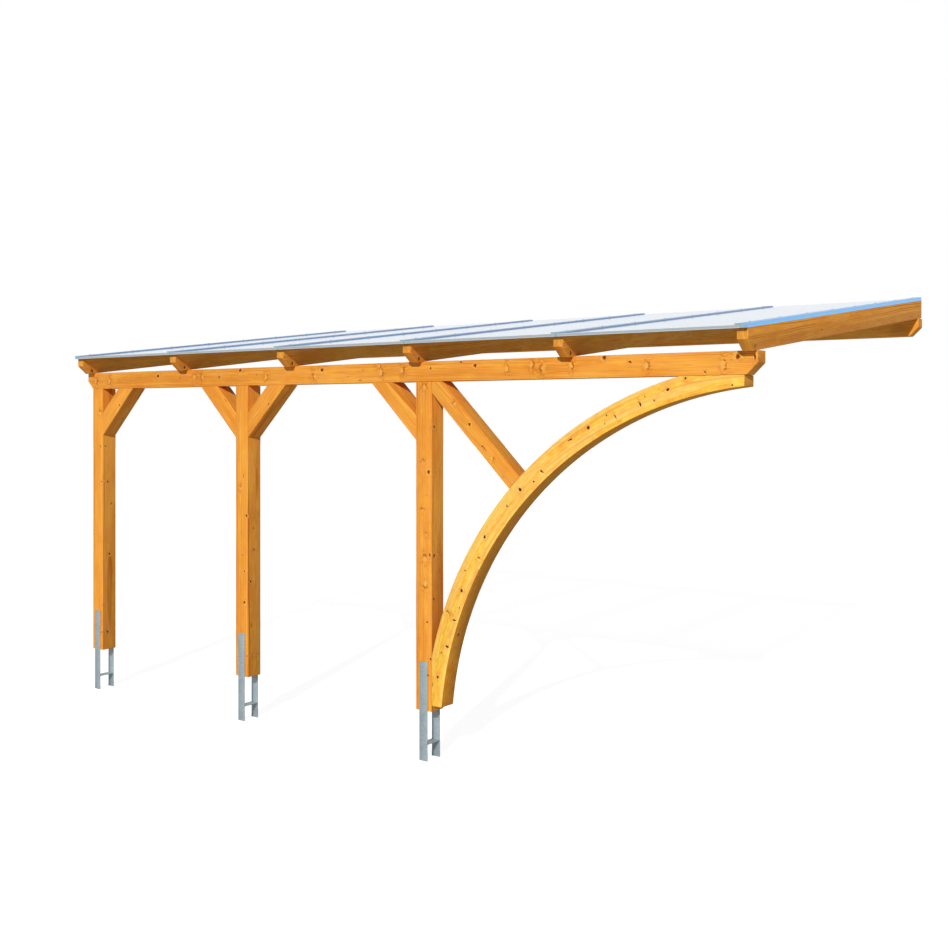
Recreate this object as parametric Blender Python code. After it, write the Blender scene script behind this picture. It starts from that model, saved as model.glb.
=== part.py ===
"""Lean-to carport: timber posts, beams, braces, a laminated arch and a ribbed plastic sheet roof.

Metres, +Z up. +X runs along the wall, +Y points into the wall.
The origin is the middle of the flat back face of the timber that is bolted to the wall.
"""
import math

import bmesh
import bpy
from mathutils import Vector

# Fit between pieces
JOINT_GAP = 0.0003
WALL_CLEARANCE = 0.002

# Posts
POST_SIDE = 0.120
POST_HEIGHT = 1.992
POST_SPACING = 1.575
POST_NAMES = ("left", "middle", "right")
WALL_TO_POST_FRONT = 2.915

# Steel anchors that hold the posts above the footing
ANCHOR_LENGTH = 0.600
ANCHOR_WIDTH = 0.060
ANCHOR_THICKNESS = 0.005
ANCHOR_BELOW_POST = 0.303
ANCHOR_WEB_HEIGHT = 0.100

# Front beam and wall ledger
LEDGER_LENGTH = 5.375
BEAM_WIDTH = 0.100
BEAM_HEIGHT = 0.122
BEAM_PAST_LEFT_POST = 0.060
LEDGER_THICKNESS = 0.088
LEDGER_HEIGHT = 0.122
END_CHAMFER = 0.060

# Rafters
RAFTER_COUNT = 6
RAFTER_WIDTH = 0.060
RAFTER_DEPTH = 0.120
RAFTER_SPACING = 1.057
LAST_RAFTER_INSET = 0.004
RAFTER_OVERHANG = 0.112
RAFTER_CHAMFER_RISE = 0.056
RAFTER_CHAMFER_RUN = 0.070
ROOF_PITCH = math.radians(6.85)
SEAT_ON_BEAM = 0.012
SEAT_ON_LEDGER = 0.035

# Short knee braces and the long brace between the right post and the arch
BRACE_LEG = 0.353
BRACE_SECTION = 0.120
LONG_BRACE_SECTION = 0.100
LONG_BRACE_WIDTH = 0.110
LONG_BRACE_ON_BEAM = 0.073

# Laminated arch
ARCH_RADIUS = 2.2465
ARCH_SECTION = 0.1215
ARCH_WIDTH = 0.120
ARCH_CONTACT_ON_POST = 0.332
ARCH_REACH_ON_BEAM = 1.617
ARCH_FOOT_ABOVE_POST_END = 0.037
ARCH_END_FROM_BEAM_END = 0.071
ARCH_STEPS = 48
ARCH_SHARP_ANGLE = math.radians(30)
LONG_BRACE_END_STEPS = 8

# Roof sheets, cover bars and closing strips
SHEET_THICKNESS = 0.016
ROOF_OVERHANG = 0.026
SHEET_JOINT = 0.010
BAR_WIDTH = 0.060
BAR_CAP = 0.008
CLOSER_DEPTH = 0.014

# Places worked out from the sizes above
SLOPE = math.tan(ROOF_PITCH)
RAFTER_PLUMB_DEPTH = RAFTER_DEPTH / math.cos(ROOF_PITCH)
POST_FRONT_Y = -WALL_TO_POST_FRONT
POST_BACK_Y = POST_FRONT_Y + POST_SIDE
LEDGER_LEFT_X = -LEDGER_LENGTH / 2
LEDGER_RIGHT_X = LEDGER_LENGTH / 2
FIRST_POST_X = LEDGER_LEFT_X + BEAM_PAST_LEFT_POST
LEDGER_TOP_Z = LEDGER_HEIGHT / 2
RAFTER_BOTTOM_AT_WALL_Z = LEDGER_TOP_Z + SLOPE * (LEDGER_THICKNESS - SEAT_ON_LEDGER)
BEAM_TOP_Z = RAFTER_BOTTOM_AT_WALL_Z + SLOPE * (POST_FRONT_Y + SEAT_ON_BEAM)
BEAM_BOTTOM_Z = BEAM_TOP_Z - BEAM_HEIGHT
POST_TOP_Z = BEAM_BOTTOM_Z - JOINT_GAP
POST_BOTTOM_Z = POST_TOP_Z - POST_HEIGHT
ANCHOR_BOTTOM_Z = POST_BOTTOM_Z - ANCHOR_BELOW_POST
RAFTER_FRONT_Y = POST_FRONT_Y - RAFTER_OVERHANG
LAST_RAFTER_X = LEDGER_RIGHT_X - LAST_RAFTER_INSET - RAFTER_WIDTH / 2
FIRST_RAFTER_X = LAST_RAFTER_X - (RAFTER_COUNT - 1) * RAFTER_SPACING
ARCH_POST_X = FIRST_POST_X + (len(POST_NAMES) - 1) * POST_SPACING + POST_SIDE


def linear(channel):
    """One sRGB channel, 0 to 1, as a linear value."""
    if channel <= 0.04045:
        return channel / 12.92
    return ((channel + 0.055) / 1.055) ** 2.4


def finish(name, colour, roughness, metallic=0.0):
    """A Principled material from an sRGB hex colour."""
    material = bpy.data.materials.new(name)
    material.use_nodes = True
    shader = material.node_tree.nodes["Principled BSDF"]
    channels = [int(colour[i:i + 2], 16) / 255 for i in (0, 2, 4)]
    shader.inputs["Base Color"].default_value = (*[linear(c) for c in channels], 1.0)
    shader.inputs["Roughness"].default_value = roughness
    shader.inputs["Metallic"].default_value = metallic
    return material


def prism(name, outline, low, high, place, material, parent=None):
    """A flat outline pushed from low to high; place(a, b, depth) gives each corner's x, y, z."""
    shape = bmesh.new()
    corners = [shape.verts.new(place(a, b, low)) for a, b in outline]
    face = shape.faces.new(corners)
    pushed = bmesh.ops.extrude_face_region(shape, geom=[face])
    step = Vector(place(*outline[0], high)) - Vector(place(*outline[0], low))
    moved = [item for item in pushed["geom"] if isinstance(item, bmesh.types.BMVert)]
    bmesh.ops.translate(shape, verts=moved, vec=step)
    bmesh.ops.recalc_face_normals(shape, faces=shape.faces)
    mesh = bpy.data.meshes.new(name)
    shape.to_mesh(mesh)
    shape.free()
    mesh.materials.append(material)
    piece = bpy.data.objects.new(name, mesh)
    piece.parent = parent
    bpy.context.scene.collection.objects.link(piece)
    return piece


def along_y(x, z, y):
    """An outline seen from the front."""
    return (x, y, z)


def along_x(y, z, x):
    """An outline seen from the side."""
    return (x, y, z)


def along_z(x, y, z):
    """An outline seen from above."""
    return (x, y, z)


def box(name, low, high, material):
    outline = [(low[0], low[1]), (high[0], low[1]), (high[0], high[1]), (low[0], high[1])]
    prism(name, outline, low[2], high[2], along_z, material)


def rafter_bottom(y):
    """Height of the rafters' uncut underside."""
    return RAFTER_BOTTOM_AT_WALL_Z + SLOPE * y


def rafter_top(y):
    """Height of the rafters' top, where the roof lies."""
    return rafter_bottom(y) + RAFTER_PLUMB_DEPTH


def post_left_x(index):
    return FIRST_POST_X + index * POST_SPACING


def make_posts(material):
    for index, side in enumerate(POST_NAMES):
        x = post_left_x(index)
        low = (x, POST_FRONT_Y, POST_BOTTOM_Z)
        high = (x + POST_SIDE, POST_BACK_Y, POST_TOP_Z)
        box(f"post_{side}", low, high, material)


def make_anchors(material):
    """H-shaped anchors: a plate on the front and back of each post, joined by a low web."""
    inner_front = POST_FRONT_Y - JOINT_GAP
    inner_back = POST_BACK_Y + JOINT_GAP
    outer_front = inner_front - ANCHOR_THICKNESS
    outer_back = inner_back + ANCHOR_THICKNESS
    low = ANCHOR_BOTTOM_Z
    high = low + ANCHOR_LENGTH
    web_low = low + ANCHOR_WEB_HEIGHT
    web_high = web_low + ANCHOR_THICKNESS
    outline = [
        (outer_front, low), (inner_front, low), (inner_front, web_low), (inner_back, web_low),
        (inner_back, low), (outer_back, low), (outer_back, high), (inner_back, high),
        (inner_back, web_high), (inner_front, web_high), (inner_front, high), (outer_front, high),
    ]
    for index, side in enumerate(POST_NAMES):
        x = post_left_x(index) + (POST_SIDE - ANCHOR_WIDTH) / 2
        prism(f"post_anchor_{side}", outline, x, x + ANCHOR_WIDTH, along_x, material)


def chamfered_beam(name, low_z, height, front_y, back_y, material):
    """A timber along the wall with the lower corner of each end cut off at 45 degrees."""
    outline = [
        (LEDGER_LEFT_X, low_z + END_CHAMFER),
        (LEDGER_LEFT_X + END_CHAMFER, low_z),
        (LEDGER_RIGHT_X - END_CHAMFER, low_z),
        (LEDGER_RIGHT_X, low_z + END_CHAMFER),
        (LEDGER_RIGHT_X, low_z + height),
        (LEDGER_LEFT_X, low_z + height),
    ]
    prism(name, outline, front_y, back_y, along_y, material)


def make_rafters(material):
    """Rafters notched over the front beam and the ledger, front ends chamfered underneath."""
    beam_face = POST_FRONT_Y - JOINT_GAP
    beam_seat = BEAM_TOP_Z + JOINT_GAP
    seat_end = (beam_seat - RAFTER_BOTTOM_AT_WALL_Z) / SLOPE
    ledger_face = -LEDGER_THICKNESS - JOINT_GAP
    ledger_seat = LEDGER_TOP_Z + JOINT_GAP
    ledger_seat_end = (ledger_seat - RAFTER_BOTTOM_AT_WALL_Z) / SLOPE
    back = -WALL_CLEARANCE
    chamfer_end = RAFTER_FRONT_Y + RAFTER_CHAMFER_RUN
    outline = [
        (RAFTER_FRONT_Y, rafter_top(RAFTER_FRONT_Y)),
        (RAFTER_FRONT_Y, rafter_bottom(chamfer_end) + RAFTER_CHAMFER_RISE),
        (chamfer_end, rafter_bottom(chamfer_end)),
        (beam_face, rafter_bottom(beam_face)),
        (beam_face, beam_seat),
        (seat_end, beam_seat),
        (ledger_face, rafter_bottom(ledger_face)),
        (ledger_face, ledger_seat),
        (ledger_seat_end, ledger_seat),
        (back, rafter_bottom(back)),
        (back, rafter_top(back)),
    ]
    for index in range(RAFTER_COUNT):
        middle = FIRST_RAFTER_X + index * RAFTER_SPACING
        low = middle - RAFTER_WIDTH / 2
        high = middle + RAFTER_WIDTH / 2
        prism(f"rafter_{index + 1}", outline, low, high, along_x, material)


def make_short_braces(material):
    """45 degree knee braces between the posts and the front beam, inside the two bays."""
    slant = BRACE_SECTION * math.sqrt(2)
    top = BEAM_BOTTOM_Z - JOINT_GAP
    places = (
        ("brace_left_post", 0, 1),
        ("brace_middle_post_left", 1, -1),
        ("brace_middle_post_right", 1, 1),
        ("brace_right_post", 2, -1),
    )
    for name, index, side in places:
        face = post_left_x(index)
        if side > 0:
            face += POST_SIDE
        face += side * JOINT_GAP
        outline = [
            (face, top - BRACE_LEG),
            (face, top - BRACE_LEG + slant),
            (face + side * (BRACE_LEG - slant), top),
            (face + side * BRACE_LEG, top),
        ]
        prism(name, outline, POST_FRONT_Y, POST_BACK_Y, along_y, material)


def arch_centre():
    """Centre of the arch, from the two places where its outer face meets the post and the beam."""
    foot = Vector((ARCH_POST_X, POST_BOTTOM_Z + ARCH_CONTACT_ON_POST))
    head = Vector((ARCH_POST_X + ARCH_REACH_ON_BEAM, BEAM_BOTTOM_Z))
    chord = head - foot
    offset = math.sqrt(ARCH_RADIUS ** 2 - (chord.length / 2) ** 2)
    across = Vector((chord.y, -chord.x)).normalized()
    return (foot + head) / 2 + across * offset


def arc(centre, radius, start, end, steps):
    """Points of an arc from one angle to another, both ends included."""
    points = []
    for step in range(steps + 1):
        angle = start + (end - start) * step / steps
        points.append((centre.x + radius * math.cos(angle), centre.y + radius * math.sin(angle)))
    return points


def angle_at_x(centre, radius, x):
    """Angle of the arc's upper left point that lies at x."""
    return math.acos((x - centre.x) / radius)


def angle_at_z(centre, radius, z):
    """Angle of the arc's upper left point that lies at height z."""
    return math.pi - math.asin((z - centre.y) / radius)


def make_arch(material):
    """A laminated curved timber from the foot of the right post up to the end of the beam."""
    centre = arch_centre()
    inner_radius = ARCH_RADIUS - ARCH_SECTION
    left = ARCH_POST_X + JOINT_GAP
    top = BEAM_BOTTOM_Z - JOINT_GAP
    foot = POST_BOTTOM_Z + ARCH_FOOT_ABOVE_POST_END
    right = LEDGER_RIGHT_X - ARCH_END_FROM_BEAM_END
    outer = arc(centre, ARCH_RADIUS, angle_at_x(centre, ARCH_RADIUS, left),
                angle_at_z(centre, ARCH_RADIUS, top), ARCH_STEPS)
    inner = arc(centre, inner_radius, angle_at_x(centre, inner_radius, right),
                angle_at_z(centre, inner_radius, foot), ARCH_STEPS)
    outline = [*outer, (right, top), *inner, (left, foot)]
    back = POST_FRONT_Y + ARCH_WIDTH
    arch = prism("curved_arch", outline, POST_FRONT_Y, back, along_y, material)
    arch.data.shade_smooth()
    arch.data.set_sharp_from_angle(angle=ARCH_SHARP_ANGLE)


def slide_to_arch(centre, x, z, radius):
    """Distance down a 45 degree line from x, z to the arch's outer face."""
    start = Vector((x, z)) - centre
    down = Vector((1, -1)).normalized()
    run = start.dot(down)
    return -run - math.sqrt(run ** 2 - start.length_squared + radius ** 2)


def make_long_brace(material):
    """The 45 degree brace from the corner of post and beam down to the arch's back."""
    centre = arch_centre()
    left = ARCH_POST_X + JOINT_GAP
    top = BEAM_BOTTOM_Z - JOINT_GAP
    radius = ARCH_RADIUS + JOINT_GAP
    slant = LONG_BRACE_SECTION * math.sqrt(2)
    head = (left + LONG_BRACE_ON_BEAM, top)
    heel = (left, top - slant + LONG_BRACE_ON_BEAM)
    ends = []
    for x, z in (head, heel):
        run = slide_to_arch(centre, x, z, radius) / math.sqrt(2)
        ends.append(math.atan2(z - run - centre.y, x + run - centre.x))
    curve = arc(centre, radius, ends[0], ends[1], LONG_BRACE_END_STEPS)
    outline = [heel, (left, top), head, *curve]
    prism("long_brace", outline, POST_FRONT_Y, POST_FRONT_Y + LONG_BRACE_WIDTH, along_y, material)


def make_roof(sheet_material, bar_material, strip_material):
    """Sheets between cover bars, all lying on the rafters, in the frame of the sloping plane."""
    plane = bpy.data.objects.new("roof_plane", None)
    plane.location = (0, -WALL_CLEARANCE, rafter_top(-WALL_CLEARANCE))
    plane.rotation_euler = (ROOF_PITCH, 0, 0)
    bpy.context.scene.collection.objects.link(plane)
    front = (RAFTER_FRONT_Y - ROOF_OVERHANG + WALL_CLEARANCE) / math.cos(ROOF_PITCH)
    sheet_low = JOINT_GAP
    sheet_high = sheet_low + SHEET_THICKNESS
    cap_low = sheet_high + JOINT_GAP
    cap_high = cap_low + BAR_CAP

    def strip(name, width, low_y, high_y, middle, material):
        left, right = middle - width / 2, middle + width / 2
        outline = [(left, sheet_low), (right, sheet_low), (right, sheet_high), (left, sheet_high)]
        prism(name, outline, low_y, high_y, along_y, material, plane)

    sheet_width = RAFTER_SPACING - SHEET_JOINT
    for index in range(RAFTER_COUNT - 1):
        middle = FIRST_RAFTER_X + (index + 0.5) * RAFTER_SPACING
        number = index + 1
        near = front + CLOSER_DEPTH
        far = -CLOSER_DEPTH
        strip(f"eaves_strip_{number}", sheet_width, front, near, middle, strip_material)
        strip(f"roof_sheet_{number}", sheet_width, near + JOINT_GAP, far - JOINT_GAP, middle,
              sheet_material)
        strip(f"wall_strip_{number}", sheet_width, far, 0, middle, strip_material)

    for index in range(RAFTER_COUNT):
        middle = FIRST_RAFTER_X + index * RAFTER_SPACING
        half_cap = BAR_WIDTH / 2
        half_web = SHEET_JOINT / 2 - JOINT_GAP
        left_web = half_cap if index == 0 else half_web
        right_web = half_cap if index == RAFTER_COUNT - 1 else half_web
        outline = [
            (middle - left_web, sheet_low), (middle + right_web, sheet_low),
            (middle + right_web, cap_low), (middle + half_cap, cap_low),
            (middle + half_cap, cap_high), (middle - half_cap, cap_high),
            (middle - half_cap, cap_low), (middle - left_web, cap_low),
        ]
        outline = [point for spot, point in enumerate(outline) if point not in outline[:spot]]
        prism(f"cover_bar_{index + 1}", outline, front, 0, along_y, bar_material, plane)


def build():
    for item in list(bpy.context.scene.objects):
        bpy.data.objects.remove(item, do_unlink=True)
    post_wood = finish("glazed_spruce_post", "F0A040", 0.5)
    beam_wood = finish("glazed_spruce_beam", "F2A23E", 0.5)
    rafter_wood = finish("glazed_spruce_rafter", "E6963C", 0.5)
    brace_wood = finish("glazed_spruce_brace", "EE9E42", 0.5)
    arch_wood = finish("laminated_spruce_arch", "F8B04C", 0.48)
    zinc = finish("galvanised_steel", "96A6AC", 0.38, 1.0)
    sheet = finish("ribbed_polycarbonate", "DCEAF6", 0.2)
    bar = finish("mill_finish_aluminium", "B4C4D4", 0.35, 1.0)
    strip = finish("aluminium_closing_strip", "C8D2CC", 0.4, 1.0)

    make_posts(post_wood)
    make_anchors(zinc)
    beam_back = POST_FRONT_Y + BEAM_WIDTH
    chamfered_beam("front_beam", BEAM_BOTTOM_Z, BEAM_HEIGHT,
                   POST_FRONT_Y, beam_back, beam_wood)
    chamfered_beam("wall_ledger", LEDGER_TOP_Z - LEDGER_HEIGHT, LEDGER_HEIGHT,
                   -LEDGER_THICKNESS, 0, beam_wood)
    make_rafters(rafter_wood)
    make_short_braces(brace_wood)
    make_arch(arch_wood)
    make_long_brace(brace_wood)
    make_roof(sheet, bar, strip)


build()
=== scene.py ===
"""Looks of the lean-to carport: glazed spruce timbers, a laminated arch, twin wall roof sheets,
aluminium bars and galvanised anchors. Metres, +Z up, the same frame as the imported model.
"""
import math

import bmesh
import bpy
from mathutils import Matrix, Vector


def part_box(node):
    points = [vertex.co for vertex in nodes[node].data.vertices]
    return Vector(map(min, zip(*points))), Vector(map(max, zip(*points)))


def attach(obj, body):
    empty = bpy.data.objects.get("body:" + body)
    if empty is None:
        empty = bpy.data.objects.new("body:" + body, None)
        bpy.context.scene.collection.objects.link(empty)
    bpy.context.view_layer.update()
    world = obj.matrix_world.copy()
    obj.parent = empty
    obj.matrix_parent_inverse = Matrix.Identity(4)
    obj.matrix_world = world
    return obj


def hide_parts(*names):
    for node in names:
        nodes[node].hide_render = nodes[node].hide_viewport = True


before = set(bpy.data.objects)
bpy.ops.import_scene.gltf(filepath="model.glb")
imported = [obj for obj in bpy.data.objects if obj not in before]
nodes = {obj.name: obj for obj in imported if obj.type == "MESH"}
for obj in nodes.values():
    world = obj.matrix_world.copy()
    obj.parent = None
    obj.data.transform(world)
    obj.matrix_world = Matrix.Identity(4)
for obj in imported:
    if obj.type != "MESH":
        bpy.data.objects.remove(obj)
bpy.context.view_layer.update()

# Camera: its place, its turn and its lens
CAMERA_PLACE = Vector((5.0160, -8.6640, -0.6121))
CAMERA_TURN = math.radians(37.5346)
PHOTO_SIDE = 948
FOCAL_LENGTH_PX = 1198.65
HORIZON_ROW_PX = 416.19
CENTRE_COLUMN_PX = 425.90
SENSOR_WIDTH = 36.0

# Light
SUN_AZIMUTH = math.radians(21)
SUN_ELEVATION = math.radians(28)
SUN_STRENGTH = 2.76
SUN_SOFTNESS = math.radians(2)
SKY_STRENGTH = 0.27
WHITE = "FFFFFF"

# Floor. The one that the camera sees has darker paint and a glow: white in the light, grey in
# the shadows
FLOOR_SIDE = 120.0
FLOOR_PAINT = "CACACA"
FLOOR_PAINT_SEEN = "B0B0B0"
FLOOR_GLOW = 0.87

# Timbers, in metres
RAFTERS = 6
TIMBER_EASING = 0.003
RAFTER_EASING = 0.0015
PLATE_EASING = 0.0008
MERGE_DISTANCE = 0.00002
FLAT_ANGLE = math.radians(0.4)
SHARP_ANGLE = math.radians(30)
ARCH_CENTRE = Vector((2.8297, 0.0, -2.5763))
ARCH_INNER_RADIUS = 2.125
ARCH_WIDTH = 0.1215
ARCH_MIDDLE_RADIUS = ARCH_INNER_RADIUS + ARCH_WIDTH / 2

# Roof: the sheets' walls and ribs
SHEETS = 5
ROOF_PITCH = math.radians(6.85)
WALL = 0.0010
RIB = 0.0008
RIB_PITCH = 0.016
RIB_CLEARANCE = 0.00005

# Aluminium bars, their seals and end caps, and the closing strips. A face of an end bar has
# blue film on it from this much facing outwards
BARS = SHEETS + 1
FILM_FACING = 0.6
BAR_CAP = 0.008
BAR_WEB_HALF_WIDTH = 0.0047
CROWN_HALF_WIDTH = 0.012
CROWN_STEP = 0.0009
CROWN_DROP = 0.0022
BAR_EDGE_ROUNDING = 0.0011
BAR_RIM = 0.0014
SKIRT_RECESS = 0.0006
SKIRT_LIP = 0.0022
SEAL_WIDTH = 0.008
SEAL_SLOT = 0.0025
SEAL_HEIGHT = 0.0024
CLEARANCE = 0.0003
END_CAP = 0.003
END_CHAMFER = 0.0014
STRIP_GROOVE = 0.0012
STRIP_FACE = 0.0008

# Screws: hexagon heads on the bars, pan heads through the anchor plates into the posts
SCREW_SINK = 0.0003
WASHER_SIDES = 16
HEAD_TAPER = 0.82
SCREWS_PER_BAR = 8
SCREW_END_DISTANCE = 0.12
BAR_SCREW = {"Washer Radius": 0.0080, "Washer Height": 0.0014, "Head Radius": 0.0048,
             "Head Height": 0.0034, "Head Sides": 6}
PLATE_SCREW = {"Washer Radius": 0.0046, "Washer Height": 0.0010, "Head Radius": 0.0042,
               "Head Height": 0.0020, "Head Sides": 12}
PLATE_SCREW_PITCH = 0.065
PLATE_SCREW_OFFSET = 0.016
PLATE_SCREW_END = 0.045
PLATE_SCREWS = 4

# Wood: rings, knots and the arch's glued boards, in metres
RING_SPACING = 0.0085
RING_WANDER = 0.030
RING_LENGTHENING = (0.004, 1, 1)
KNOT_DEPTH = 0.050
KNOT_UNEVENNESS = (0.022, 0.022, 0.0)
SWIRL_SHIFT = -0.55
LAMELLA = 0.024
BOARD_LENGTH = 1.15
BOARD_STAGGER = 0.43
BOARD_SHIFTS = (3.0, 0.08, 0.08)
SEED_SHIFTS = (7.3, 3.1, 5.7)

# Where the pith of each timber lies: across the face that is seen, and into it
PITHS = {"post": (-0.02, 0.09), "beam": (0.15, 0.02), "rafter": (0.10, 0.09),
         "short brace": (0.13, 0.05), "long brace": (-0.04, 0.06), "arch": (0.06, 0.25)}

# Sizes of the wood's patterns along and across the grain, in metres
WANDER_SIZE = (1.1, 0.20, 0.20)
PATCH_SIZE = (0.45, 0.09, 0.09)
BLOTCH_SIZE = (0.11, 0.038, 0.038)
ARCH_BLOTCH_SIZE = (0.045, 0.025, 0.025)
FIBRE_SIZE = (0.14, 0.0066, 0.0066)
PIN_KNOT_SPACING = (0.20, 0.045, 0.045)
KNOT_LUMP_SIZE = 0.018

# Sizes of the other patterns, in metres
SPANGLE_SIZE = 0.009
ZINC_CLOUD_SIZE = 0.070
DRAWING_LINE_SIZE = (0.003, 0.8, 0.003)
SHEET_WAVE_SIZE = (0.17, 1.4, 0.17)
WEAR_SIZE = 0.017

# Smooth changes in the wood: from, to, the strength at from, the strength at to
SMOOTH = {"interpolation_type": "SMOOTHSTEP"}
AMBER_PATCHES = (0.36, 0.64, 0.0, 1.0)
PINK_BLOTCHES = (0.50, 0.68, 0.0, 0.45)
YELLOW_BLOTCHES = (0.32, 0.48, 0.45, 0.0)
ARCH_PINK_BLOTCHES = (0.50, 0.68, 0.0, 0.95)
ARCH_YELLOW_BLOTCHES = (0.32, 0.48, 0.95, 0.0)
LATE_WOOD_OF_RING = (0.0, 1.0, 0.15, 1.0)
LATE_WOOD_SHOWN = (0.40, 0.60, 0.30, 0.95)
DARK_FIBRES = (0.30, 0.56, 0.35, 0.0)
PALE_BOARDS = (0.0, 1.0, 0.0, 0.35)
GLUE_LINE = (0.0, 0.04, 0.18, 0.0)
SOAKED_BY_KNOTS = (1.3, 4.5, 0.55, 0.0)
SOAKED_LUMPS = (0.45, 0.60, 0.0, 1.0)
PIN_KNOT_EDGE = (0.05, 0.12, 1.0, 0.0)
PIN_KNOT_CHANCE = (0.70, 0.74, 0.0, 0.75)
RINGS_PUSHED = (0.4, 3.4, 0.016, 0.0)
# Swirls: the pale oval is a painted highlight, the dark rim beside it partly grain and partly
# painted shade
SWIRL_HIGHLIGHT = (0.1, 1.7, 0.40, 0.0)
SWIRL_RIM = (0.9, 1.4, 1.0, 0.0)
SWIRL_SIDE = (0.7, 1.15, 0.0, 1.0)
SWIRL_BREAKS = (0.35, 0.60, 1.0, 0.45)
# The pale ring round a knot is partly paler wood and partly a painted highlight
KNOT_HALO_HIGHLIGHT = (1.3, 3.2, 0.25, 0.0)
KNOT_EDGE = (0.95, 1.45, 1.0, 0.0)
KNOT_CORE = (0.4, 1.0, 1.0, 0.0)
KNOT_DENT = (0.9, 1.3, 1.5, 0.0)

# How the late wood rises and falls across one ring
LATE_WOOD_RISE = ((0.45, 0.12), (0.82, 1.0))

# Glaze colours: early wood, amber patches, late wood, knot, knot core, pale wood, which also
# paints the highlights by knots and swirls, then two slow tints of the glaze
SPRUCE = ("F9AE48", "F09B3A", "C6701E", "A4520C", "723200", "FFCF74", "F4A55A", "FABA46")
ARCH_SPRUCE = ("FFCC4C", "FFBE40", "E28C26", "843C00", "3A1200", "FFE08C", "F9A63C", "FFD858")

# Duller faces: the way that they face, how far they have to face it, and their colour.
# A timber's own length is the way of its sawn ends. The arch's entry is painted shade instead:
# a darker orange on the faces that turn away from the front and back
SAWN_ENDS = ((0.75, 0.95, 0.0, 0.15), "A8843A")
ARCH_PAINTED_SHADE_FACES = ((0, 1, 0), (0.3, 0.7, 0.5, 0.0), "C86E22")

# Knots on the faces that the camera sees: up from the foot, across from the left edge, and
# half sizes along and across. Swirls are dark curved lines by a pale oval, which is a painted
# highlight; the line is partly grain and partly painted shade. A negative half size along
# turns the line to the other side. The last table is for the right side, with depth for across
POST_KNOTS = {
    "post_left": (
        ((1.283, 0.108, 0.006, 0.005), (0.134, 0.108, 0.006, 0.005), (0.869, 0.006, 0.005, 0.004),
         (1.554, 0.085, 0.006, 0.006), (0.344, 0.111, 0.004, 0.003)),
        ((1.813, 0.087, 0.015, 0.011),),
        ((1.283, 0.045, 0.008, 0.007), (0.729, 0.061, 0.008, 0.008), (0.135, 0.044, 0.008, 0.007),
         (1.556, 0.023, 0.005, 0.006), (1.113, 0.077, 0.005, 0.005), (0.346, 0.044, 0.004, 0.004)),
    ),
    "post_middle": (
        ((1.103, 0.106, 0.008, 0.007), (0.508, 0.085, 0.009, 0.008), (0.145, 0.113, 0.005, 0.004),
         (0.721, 0.087, 0.006, 0.005), (0.832, 0.071, 0.004, 0.004)),
        ((1.295, 0.043, 0.013, 0.007),),
        ((0.652, 0.025, 0.008, 0.007), (0.869, 0.056, 0.006, 0.006), (1.443, 0.075, 0.004, 0.004),
         (1.016, 0.052, 0.004, 0.004)),
    ),
    "post_right": (
        ((1.445, 0.097, 0.011, 0.009), (0.948, 0.106, 0.008, 0.006), (0.318, 0.113, 0.006, 0.004),
         (0.219, 0.092, 0.007, 0.006), (1.306, 0.083, 0.003, 0.003), (0.541, 0.083, 0.005, 0.005)),
        ((1.968, 0.063, 0.014, 0.014), (1.515, 0.053, 0.012, 0.009), (1.220, 0.048, 0.010, 0.008),
         (0.931, 0.068, 0.018, 0.015), (0.760, 0.072, -0.019, 0.014), (1.073, 0.079, 0.009, 0.008)),
        ((1.719, 0.025, 0.008, 0.008), (0.941, 0.025, 0.008, 0.007), (0.680, 0.022, 0.005, 0.006)),
    ),
}
# Along from the left end, down from the top edge, half sizes
BEAM_KNOTS = (
    (1.677, 0.016, 0.011, 0.009), (2.438, 0.032, 0.012, 0.010), (4.507, 0.014, 0.011, 0.010),
    (5.268, 0.031, 0.011, 0.011), (3.650, 0.033, 0.009, 0.009), (0.820, 0.038, 0.010, 0.009),
    (4.663, 0.041, 0.006, 0.006), (1.469, 0.058, 0.006, 0.006), (3.325, 0.042, 0.005, 0.005),
    (5.092, 0.103, 0.006, 0.005), (3.547, 0.011, 0.007, 0.005), (1.060, 0.055, 0.004, 0.004),
    (1.839, 0.047, 0.004, 0.004), (2.657, 0.076, 0.004, 0.004), (2.787, 0.042, 0.004, 0.004),
    (5.360, 0.036, 0.004, 0.016),
)
BEAM_SWIRLS = (
    (0.104, 0.062, 0.012, 0.020), (0.265, 0.064, 0.013, 0.019), (1.220, 0.053, 0.012, 0.019),
    (1.934, 0.067, 0.012, 0.020), (2.923, 0.019, 0.012, 0.013), (2.942, 0.061, 0.012, 0.020),
    (3.109, 0.049, 0.012, 0.021), (3.878, 0.058, 0.008, 0.022), (4.048, 0.039, 0.012, 0.021),
    (4.304, 0.050, 0.011, 0.020), (4.767, 0.062, 0.012, 0.021), (5.197, 0.069, 0.010, 0.025),
    (1.290, 0.054, -0.011, 0.019), (2.367, 0.071, -0.012, 0.020), (4.109, 0.063, -0.013, 0.021),
)
LEDGER_KNOTS = (
    (0.72, 0.080, 0.009, 0.008), (2.11, 0.035, 0.008, 0.008), (3.43, 0.066, 0.009, 0.007),
    (4.52, 0.090, 0.007, 0.006), (5.02, 0.045, 0.008, 0.008),
)
LEDGER_SWIRLS = (
    (1.38, 0.060, 0.012, 0.016), (2.87, 0.075, -0.012, 0.016), (4.10, 0.040, 0.012, 0.015),
)
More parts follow.
